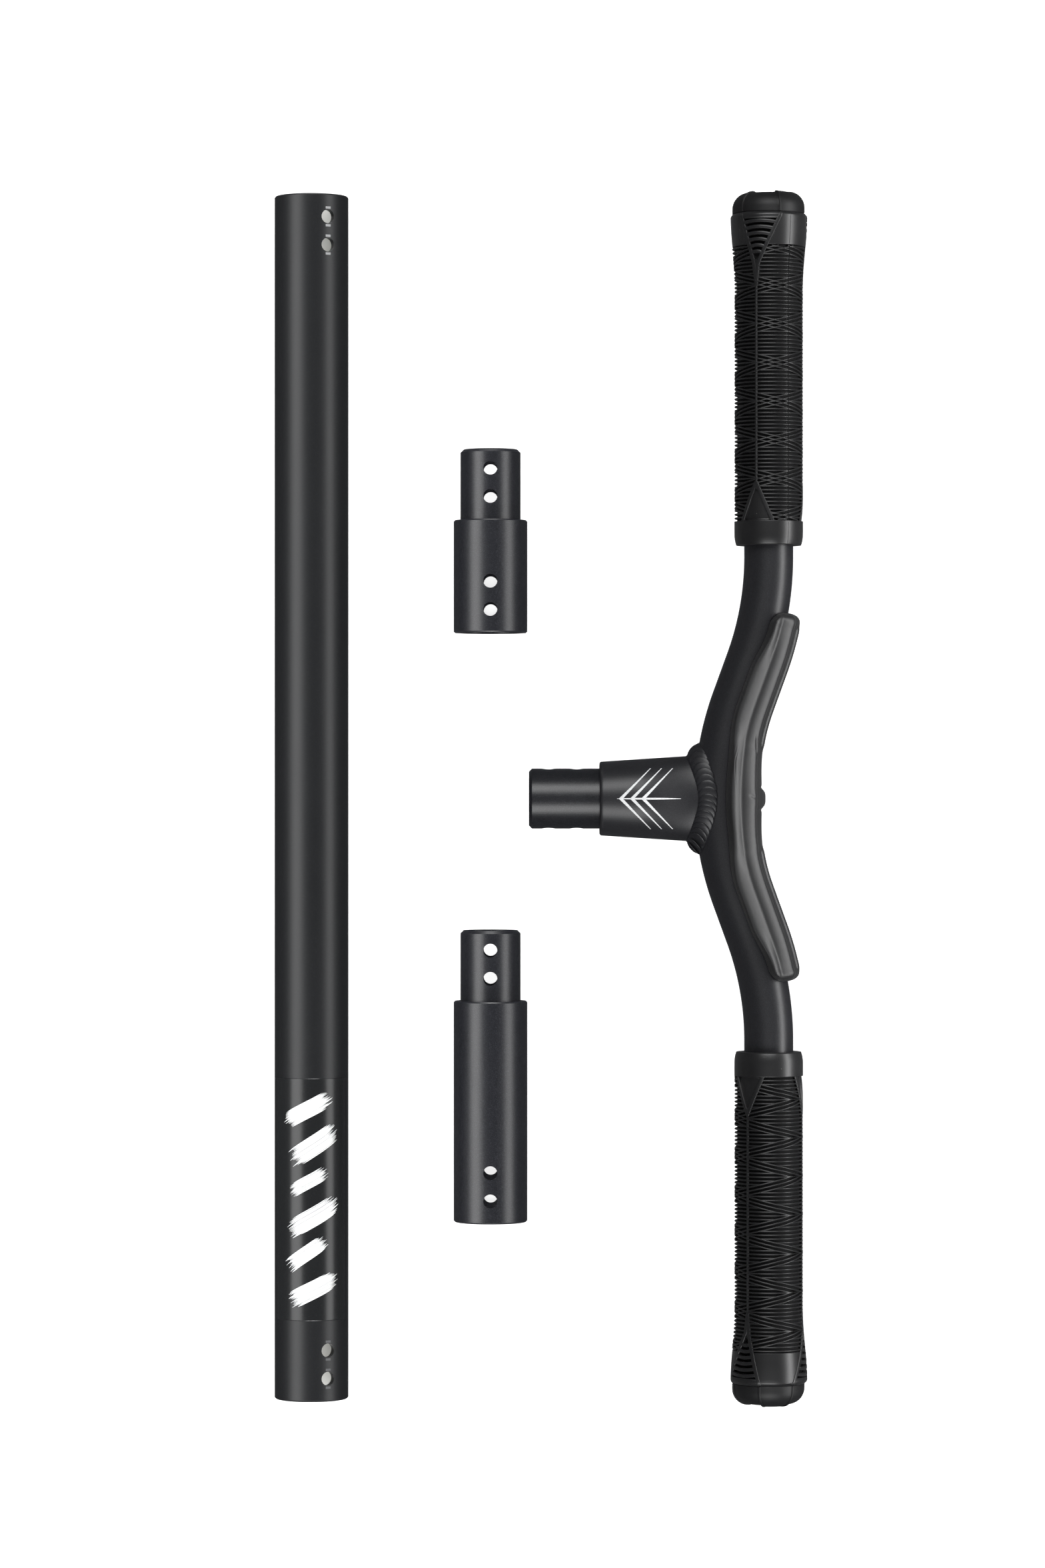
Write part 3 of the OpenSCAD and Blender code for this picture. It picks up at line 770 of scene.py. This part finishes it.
def at_grip(side, z, turn, r):
    """A point on a grip: side 1 is the one at +Y, side -1 the one at -Y."""
    a = math.radians(turn - RIGHT_ROLL if side > 0 else -turn - LEFT_ROLL)
    return (GRIP_X + r * math.sin(a), side * (BAR_HALF - GRIP_LEN + z),
            HANDLE_Z + r * math.cos(a))


# Sweeps a rounded bar along every line of a piece, its depth along "up"
sweeps, sweep_in, sweep_out = group_tree(
    "moulded ribs", Wide="NodeSocketFloat", Deep="NodeSocketFloat",
    Corner="NodeSocketFloat", Corner_Steps="NodeSocketInt", Finish="NodeSocketMaterial")
up = node(sweeps, "GeometryNodeInputNamedAttribute", {"Name": "up"},
          data_type="FLOAT_VECTOR").outputs[0]
lines = node(sweeps, "GeometryNodeMeshToCurve", {"Mesh": sweep_in.outputs["Geometry"]})
facing = node(sweeps, "GeometryNodeSetCurveNormal",
              {"Curve": lines.outputs[0], "Normal": up}, mode="FREE")
section = node(sweeps, "GeometryNodeCurvePrimitiveQuadrilateral", {
    "Width": sweep_in.outputs["Deep"], "Height": sweep_in.outputs["Wide"]})
rounded = node(sweeps, "GeometryNodeFilletCurve", {
    "Curve": section.outputs["Curve"], "Count": sweep_in.outputs["Corner Steps"],
    "Radius": sweep_in.outputs["Corner"]}, mode="POLY")
swept = node(sweeps, "GeometryNodeCurveToMesh", {
    "Curve": facing.outputs[0], "Profile Curve": rounded.outputs[0], "Fill Caps": True})
finish_tree(sweeps, sweep_in, sweep_out, swept.outputs[0])


def sweep_lines(name, runs, wide, deep, corner, steps, material):
    """Sweeps a bar along runs of (place, up) pairs, in millimetres."""
    piece = points_with(name, [p for run in runs for p, _ in run],
                        up=[u for run in runs for _, u in run])
    edges, start = [], 0
    for run in runs:
        edges += [(start + i, start + i + 1) for i in range(len(run) - 1)]
        start += len(run)
    piece.data.edges.add(len(edges))
    piece.data.edges.foreach_set("vertices", np.array(edges, np.int32).ravel())
    piece.data.update()
    return run_tree(piece, sweeps, Wide=wide * MM, Deep=deep * MM, Corner=corner * MM,
                    Corner_Steps=steps, Finish=material)


def grip_line(side, stations, deep, sink=0.0):
    """A run over (z, turn) stations with its top at the crest of the grip."""
    run = []
    for z, turn in stations:
        low, high = at_grip(side, z, turn, 0), at_grip(side, z, turn, 1)
        run.append((at_grip(side, z, turn, crest(z) - sink - deep / 2),
                    tuple(h - w for h, w in zip(high, low))))
    return run


def zigzag(turn, centre, sign, row):
    """Height of one rib of a zigzag bundle; at its tip it meets a ring."""
    half = 5 * RIB_PITCH
    climb = half * abs(wrap(turn - LATTICE_TURN)) / TIP_TURN
    z = centre + row * RIB_PITCH + sign * climb
    return min(z, centre + half) if sign > 0 else max(z, centre - half)


def ring_runs_here(z, turn):
    """True where a plain ring may run: outside the bundles and the panels."""
    if in_panel(z, turn):
        return False
    return round((z - LATTICE_AT) / RIB_PITCH) % 10 == 5 or all(
        abs(z - zigzag(turn, LATTICE_AT + 10 * RIB_PITCH * k, sign, 0)) > RIB_PITCH * 0.97
        for k in range(-1, BUNDLES + 1) for sign in (-1, 1))


TRACE = sorted([1.5 * k for k in range(241)]
               + [SEAM_TURN + d for d in (-0.75, 0, 0.75)])


def between_ends(z, turn):
    """True where a zigzag may run."""
    return COLLAR_LEN < z < SMOOTH_FROM and not in_panel(z, turn)


def rib_lines(side):
    """Every rib of a grip as lines, nicked where they cross the mould seam."""
    runs = []

    def keep(run):
        """Keeps a run that is more than a point, at every third station."""
        if len(run) > 1:
            thinned = run[:1] + run[1:-1][::3] + run[-1:]
            runs.append(grip_line(side, thinned, GROOVE + 0.3))

    def trace(height, allowed):
        """Follows a line round the grip and cuts it where it may not run."""
        run = []
        for turn in TRACE:
            z = height(turn)
            if allowed(z, turn) and abs(turn - SEAM_TURN) > 0.7:
                run.append((z, turn))
            else:
                keep(run)
                run = []
        keep(run)

    for ring in range(RINGS):
        trace(lambda turn, z=LATTICE_AT + ring * RIB_PITCH: z, ring_runs_here)
    for k in range(BUNDLES):
        for sign in (-1, 1):
            for row in (-1, 0, 1):
                trace(lambda turn, c=LATTICE_AT + 10 * RIB_PITCH * k, s=sign, w=row:
                      zigzag(turn, c, s, w), between_ends)
    return runs


def rail_lines(side, first, last, steps, deep):
    """The two rails of each V or triangle."""
    places = [(z, *rails_at(z)) for z in np.linspace(first, last, steps)]
    return [grip_line(side, [(z, spine + middle + way * half)
                             for z, middle, half in places], deep)
            for spine in SPINE_TURNS for way in (-1, 1)]


def bar_lines(side):
    """The arched bars between the slots of each V."""
    places = [(z, *rails_at(z)) for z in FIRST_BAR + BAR_PITCH * np.arange(BARS)]
    return [grip_line(side, [(z + 0.8 * (1 - t * t) - 0.2, spine + middle + half * t)
                             for t in np.linspace(-1, 1, 15)], SLOT_DEEP)
            for spine in SPINE_TURNS for z, middle, half in places]


def moulded(name, clouds, dark, light, grain, detail, specks=None, **surface):
    """A moulded polymer: two blacks in clouds of a size, over a fine grain of
    a size, both in mm. Where specks gives a colour, a few of them show."""
    material, tree, shader = new_material(name, **surface)
    spot = node(tree, "ShaderNodeTexCoord").outputs["Object"]
    cloudy = node(tree, "ShaderNodeTexNoise",
                  {"Vector": spot, "Scale": 1 / (clouds * MM), "Detail": 4}).outputs["Fac"]
    colour = two_tone(tree, cloudy, 0.3, 0.7, linear(dark), linear(light))
    if specks:
        cells = node(tree, "ShaderNodeTexVoronoi",
                     {"Vector": spot, "Scale": 1 / (SPECKS_APART * MM)}).outputs["Distance"]
        speck = node(tree, "ShaderNodeMath", {0: cells, 1: 0.035},
                     operation="LESS_THAN").outputs[0]
        colour = two_tone(tree, speck, 0, 1, colour, linear(specks))
    skin_noise = node(tree, "ShaderNodeTexNoise", {
        "Vector": spot, "Scale": 1 / (grain * MM), "Detail": detail}).outputs["Fac"]
    bump = node(tree, "ShaderNodeBump", {"Strength": 0.4, "Height": skin_noise,
                                         "Distance": 0.03 * MM}).outputs[0]
    tree.links.new(colour, shader.inputs["Base Color"])
    tree.links.new(bump, shader.inputs["Normal"])
    return material


# Moulded thermoplastic rubber: matt, with a soft sheen and a few pale specks
rubber = moulded("moulded black rubber", 14, "#161617", "#1e1e1f", 0.5, 3,
                 specks="#70706d", Roughness=0.35, Specular_IOR_Level=0.7,
                 Sheen_Weight=0.03, Sheen_Roughness=0.5)

# The same rubber in the grooves, matt, and with a darker base colour that is painted shade
# deep in the grooves
painted_shade_rubber, _, _ = new_material("matt black rubber", Base_Color=linear("#101011"),
                                   Roughness=0.7, Specular_IOR_Level=0.3)
# Rings of the moulding, close together where its radius changes quickly
heights = [0.0, 0.4, 1.2, 2.4, 4, 6, 8.5, *(COLLAR_LEN + d for d in (-0.35, -0.05, 0.05)),
           *np.arange(COLLAR_LEN + 0.8, TRIANGLE_APEX + 1, 0.9),
           *np.arange(TRIANGLE_APEX + 4, FORK_AT, 6),
           *(POCKET_AT + d for d in (-0.1, 0.15, 0.45, 0.6)), 131, 133,
           SMOOTH_FROM - 0.1, *np.arange(SMOOTH_FROM + 0.05, SMOOTH_FROM + 0.7, 0.1),
           *np.arange(SMOOTH_FROM + 1.2, SLOTTED_TO - 0.6, 1.1),
           *(SLOTTED_TO + d for d in (-0.4, -0.25, -0.1, 0.02)),
           *(GRIP_LEN - d for d in (1.7, 1.3, 0.9, 0.5, 0.2, 0))]
for side, name in ((1, "right_grip"), (-1, "left_grip")):
    points = [at_grip(side, z, turn, skin(z, turn)) for z in heights for turn in TURNS]
    points += [at_grip(side, z, turn, GRIP_BORE) for z in (GRIP_LEN, 0)
               for turn in TURNS]
    body = solid_from(name + "_body", points,
                      grid_faces(len(heights) + 2, len(TURNS), True, True), rubber)
    body.data.materials.append(painted_shade_rubber)
    # faces between the ribs and on the floors of the V slots take the darker rubber, as
    # painted shade
    for face in body.data.polygons:
        z = face.center.y / MM * side - BAR_HALF + GRIP_LEN
        inside = in_panel(z, TURNS[face.index % len(TURNS)] + 1)
        if COLLAR_LEN + 0.3 < z < SMOOTH_FROM + 0.1 or V_AT < z < SLOTTED_TO and inside:
            face.material_index = z > TRIANGLE_APEX or not inside
    spines = [grip_line(side, [(z, s) for z in np.linspace(
        TRIANGLE_APEX - TRIANGLE_TIP, FORK_AT + 1, 30)], SPINE_DEEP) for s in SPINE_TURNS]
    seams = [grip_line(side, [(z, SEAM_TURN) for z in np.linspace(low, high, n)], 0.3, sink)
             for low, high, n, sink in ((COLLAR_LEN, SMOOTH_FROM, 40, GROOVE - 0.1),
                                        (SMOOTH_FROM + 0.8, GRIP_LEN - 1, 12, STEP - 0.1),
                                        (0.6, COLLAR_LEN, 8, -0.08))]
    vee_rails = rail_lines(side, FORK_AT, GRIP_LEN - 0.3, 40, RAIL_DEEP)
    triangle_rails = rail_lines(side, COLLAR_LEN - 0.4, TRIANGLE_APEX, 20, TRIANGLE_DEEP)
    grip = join(name + "_moulding", body, *(
        sweep_lines(name + part, runs, wide, deep, corner, corner_steps, rubber)
        for part, runs, wide, deep, corner, corner_steps in (
            ("_ribs", rib_lines(side), RIB_WIDE, GROOVE + 0.3, 0.26, 1),
            ("_spines", spines, SPINE_WIDE, SPINE_DEEP, 0.28, 3),
            ("_vee_rails", vee_rails, RAIL_WIDE, RAIL_DEEP, 0.3, 3),
            ("_vee_bars", bar_lines(side), BAR_WIDE, SLOT_DEEP, 0.2, 2),
            ("_triangle_rails", triangle_rails, TRIANGLE_WIDE, TRIANGLE_DEEP, 0.28, 3),
            ("_mould_seam", seams, 0.3, 0.3, 0.1, 1))))
    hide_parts(name)
    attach(grip, "laid_out_kit")

# ---- End caps ---------------------------------------------------------------
# Domed plastic buttons that close the open ends of the handlebar. A barbed
# plug under each one holds it, and tongues edged by a fine ridge run over it.

CAP_R, CAP_LEN, CAP_ROUND = 16.4, 9.6, 7
PLUG_LEN, PLUG_BARBS, BARB_H = 24, 4, 0.7
TONGUES = (68, 188, -52)              # over the smooth fields between the V's
TONGUE_TURN, TONGUE_REACH, GAP_SINK = 28, 0.62, 0.35
RIDGE_WIDE, RIDGE_DEEP = 1.05, 1.1


def cap_outline(s):
    """Radius and height on the cap's side and dome, s from 0 to 1."""
    straight, arc = CAP_LEN - CAP_ROUND, CAP_ROUND * math.pi / 2
    flat = CAP_R - CAP_ROUND
    d = s * (straight + arc + flat)
    if d < straight:
        return CAP_R, d
    if d < straight + arc:
        a = (d - straight) / CAP_ROUND
        return CAP_R - CAP_ROUND * (1 - math.cos(a)), straight + CAP_ROUND * math.sin(a)
    return max(0, flat - (d - straight - arc)), CAP_LEN


def at_cap(side, turn, r, h):
    """A point on an end cap, h out from the end of the grip."""
    return at_grip(side, GRIP_LEN + h, turn, r)


def on_cap(side, turn, s, sink):
    """A point under the cap's skin, and the skin's outward direction there."""
    r, h = cap_outline(s)
    r2, h2 = cap_outline(s + 0.004)
    out_r, out_h = h2 - h, r - r2
    n = math.hypot(out_r, out_h)
    out_r, out_h = out_r / n, out_h / n
    at = at_cap(side, turn, r - sink * out_r, h - sink * out_h)
    low, high = at_cap(side, turn, 0, 0), at_cap(side, turn, out_r, out_h)
    return at, tuple(b - a for a, b in zip(low, high))


# Moulded plastic: the same black as the rubber, but with a flatter shine
cap_plastic = moulded("moulded black plastic", 9, "#151516", "#1d1d1e", 0.6, 2,
                      Roughness=0.48, Specular_IOR_Level=0.4)

# The plug's outline, as radius and height, from the cap inwards
plug_r = BAR_R - BAR_WALL - 0.06
core_r = plug_r - BARB_H
barb_step = PLUG_LEN / (PLUG_BARBS + 1)
plug_end = -PLUG_LEN - barb_step / 2
plug_line = [(core_r, -0.02)]
for k in range(1, PLUG_BARBS + 1):
    plug_line += [(core_r, -k * barb_step + 0.4), (plug_r, -k * barb_step),
                  (core_r, -(k + 0.6) * barb_step)]
plug_line += [(core_r, plug_end + 0.6), (core_r - 0.6, plug_end), (0.02, plug_end)]
for side, name in ((1, "right_end_cap"), (-1, "left_end_cap")):
    points = []
    for s in np.linspace(0.994, 0, 44):
        for turn in TURNS:
            aside = min(abs(wrap(turn - q)) for q in TONGUES)
            sunk = GAP_SINK * ease((aside - TONGUE_TURN) / 2.5) * ease((0.8 - s) / 0.1)
            points.append(on_cap(side, turn, s, sunk)[0])
    points += [at_cap(side, turn, r, h) for r, h in plug_line for turn in TURNS]
    faces = closed_grid(points, len(TURNS))
    ridges = [[on_cap(side, tongue + TONGUE_TURN * math.copysign(abs(t) ** 0.3, t),
                      0.01 + TONGUE_REACH * (1 - t ** 8), 0.15)
               for t in np.sin(np.linspace(-math.pi / 2, math.pi / 2, 61))]
              for tongue in TONGUES]
    cap = join(name + "_button",
               solid_from(name + "_body", points, faces, cap_plastic),
               sweep_lines(name + "_ridges", ridges, RIDGE_WIDE, RIDGE_DEEP, 0.25, 3,
                           cap_plastic))
    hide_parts(name)
    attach(cap, "laid_out_kit")

# ---- Pad --------------------------------------------------------------------
# A soft pad on the rear of the handlebar's middle: foam under grained
# leatherette, moulded with two lengthwise ridges, and drawn in at a seam.

PAD_HALF, PAD_MORE = 83, 1.2          # the half at +Y is longer by PAD_MORE
PAD_T, PAD_MIDDLE_T, PAD_MIDDLE_Y = 6.6, 2.4, 22
PAD_TIP, PAD_EDGE, PAD_SEAT = 4, 0.85, 11.25
RIDGE_INNER, PAD_SEAM = 3, 17         # turns, from the edge and from the rear
# Height over turn of the outer ridge: steep towards the rear, easy towards the
# valley that parts it from the inner one
RIDGE_OUTER = ((22, -0.15), (30, 0.0), (34, 0.75), (37.5, 1.15), (54, 0.1), (59, -0.3),
               (64, -0.1), (70, 0.0))
PAD_COLUMNS, BACK_COLUMNS = 241, 13
END_FROM = 76.5                       # the rings close up from here to the tip


def bell(x, centre, width):
    """A bump of height 1 at centre that fades over a width."""
    return math.exp(-((x - centre) / width) ** 2)


def pad_round(y, tip):
    """How full the pad is towards its ends, which are rounded over a tip."""
    u = max(0, (abs(y) - PAD_HALF - (PAD_MORE if y > 0 else 0) + tip) / tip)
    return max(0, 1 - u ** 2.5) ** 0.4


def pad_reach(y):
    """Turn from the rear line to the pad's edge: least in the middle."""
    return 76 + 11 * ease((abs(y) - 14) / 26) - 13 * ease((abs(y) - 58) / 20)


def pad_relief(y, turn):
    """Extra height of the pad's skin: ridges, seam, knuckle and creases."""
    a = abs(turn)
    inner = pad_reach(y) - RIDGE_INNER
    shift = a + 3 * bell(y, 0, 25)
    ridges = 1.0 * bell(a, inner, 12) + np.mean(np.interp(
        shift + np.arange(-2, 3), *zip(*RIDGE_OUTER)))
    sewn = (0.85 * (1 - ease((a - PAD_SEAM + 2.2) / 4.4)) - 0.4
            - 0.3 * bell(a, PAD_SEAM - 5, 1.4)) \
        * ease((abs(y) - 24) / 5) * ease((PAD_HALF - 2.5 - abs(y)) / 3)
    knuckle = 1.9 * math.exp(-(y / 4.9) ** 4) * bell(turn, -10, 25) \
        - 0.45 * bell(abs(y), 5.8, 1.0) * bell(turn, 0, 22) \
        - 0.35 * bell(y, 1.8 + 0.1 * (turn - 46), 0.7) * bell(turn, 38, 5)
    crease = 0.06 * math.sin(2 * math.pi * (turn / 3.6 + 0.1 * abs(y - 18))) \
        * bell(y, 18, 9) * bell(turn, inner, 7)
    crease -= 0.45 * bell(turn, 37 + 0.7 * (y - 25), 1.7) * bell(y, 25, 5)
    return ridges + sewn + knuckle + crease


def pad_skin_r(y, turn):
    """Radius of the pad's skin from the handlebar's axis."""
    middle = PAD_MIDDLE_T * bell(y, 0, PAD_MIDDLE_Y) * math.cos(math.radians(turn)) ** 2
    shape = PAD_EDGE + (1 - PAD_EDGE) * math.cos(math.radians(turn * 90 / pad_reach(y)))
    return BAR_R + ((PAD_T + middle) * shape - 0.4 + pad_relief(y, turn)) \
        * max(0.12, pad_round(y, PAD_TIP))


# Leatherette: a pressed grain of about 0.3 mm under a soft semi-gloss top coat
leather, tree, shader = new_material("grained leatherette", Roughness=0.38,
                                     Specular_IOR_Level=0.6, Sheen_Weight=0.05)
spot = node(tree, "ShaderNodeTexCoord").outputs["Object"]
grain = node(tree, "ShaderNodeTexVoronoi",
             {"Vector": spot, "Scale": 1 / (0.3 * MM)}).outputs["Distance"]
creases = node(tree, "ShaderNodeTexNoise",
               {"Vector": spot, "Scale": 1 / (3.5 * MM), "Detail": 5}).outputs["Fac"]
wear = node(tree, "ShaderNodeTexNoise",
            {"Vector": spot, "Scale": 1 / (22 * MM), "Detail": 3}).outputs["Fac"]
unworn = two_tone(tree, grain, 0.2, 0.75, linear("#262627"), linear("#1c1c1d"))
tree.links.new(two_tone(tree, wear, 0.35, 0.8, unworn, linear("#2a2a2b")),
               shader.inputs["Base Color"])
relief = node(tree, "ShaderNodeMath", {0: creases, 1: 1.2, 2: grain},
              operation="MULTIPLY_ADD").outputs[0]
bump = node(tree, "ShaderNodeBump", {"Strength": 0.35, "Height": relief,
                                     "Distance": 0.035 * MM}).outputs[0]
tree.links.new(bump, shader.inputs["Normal"])

steps = np.concatenate([np.arange(0.45, 24, 0.45), np.arange(24.2, 76, 1.1)])
closing = np.sin(np.linspace(0, math.pi / 2, 18))
rings = np.concatenate([-(END_FROM + (PAD_HALF - END_FROM) * closing)[::-1],
                        -steps[::-1], [0], steps,
                        END_FROM + (PAD_HALF + PAD_MORE - END_FROM) * closing])
points = []
for y in rings:
    reach = pad_reach(y) * (0.5 + 0.5 * pad_round(y, PAD_TIP + 2))
    for k in range(PAD_COLUMNS):
        across = 2 * k / (PAD_COLUMNS - 1) - 1
        turn = reach * across
        roll = 1 - min(1, (1 - abs(across)) * 18)
        r = PAD_SEAT + (pad_skin_r(y, turn) - PAD_SEAT) \
            * (0.2 + 0.8 * math.sqrt(1 - roll * roll))
        level = y + math.copysign(1.6 * math.cos(math.radians(turn)), y) \
            * ease((abs(y) - 55) / 25)
        points.append(round_bar(level, math.radians(turn), r))
    for k in range(BACK_COLUMNS):
        across = 1 - 2 * k / (BACK_COLUMNS - 1)
        points.append(round_bar(y, math.radians(reach * across),
                                PAD_SEAT + 0.4 * abs(across) ** 8))
pad = solid_from("rear_pad", points, closed_grid(points, PAD_COLUMNS + BACK_COLUMNS),
                 leather)
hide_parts("pad_cover", "pad_foam")
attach(pad, "laid_out_kit")

# ---- Lights -----------------------------------------------------------------
# Each piece gets its group's lights.

for piece in bpy.context.scene.objects:
    if piece.type == "MESH" and piece != table:
        on_handle = max(c[0] for c in piece.bound_box) > HANDLE_LIT_FROM * MM
        for lamp in (handle_lights if on_handle else tube_lights):
            lights_only(lamp, piece)
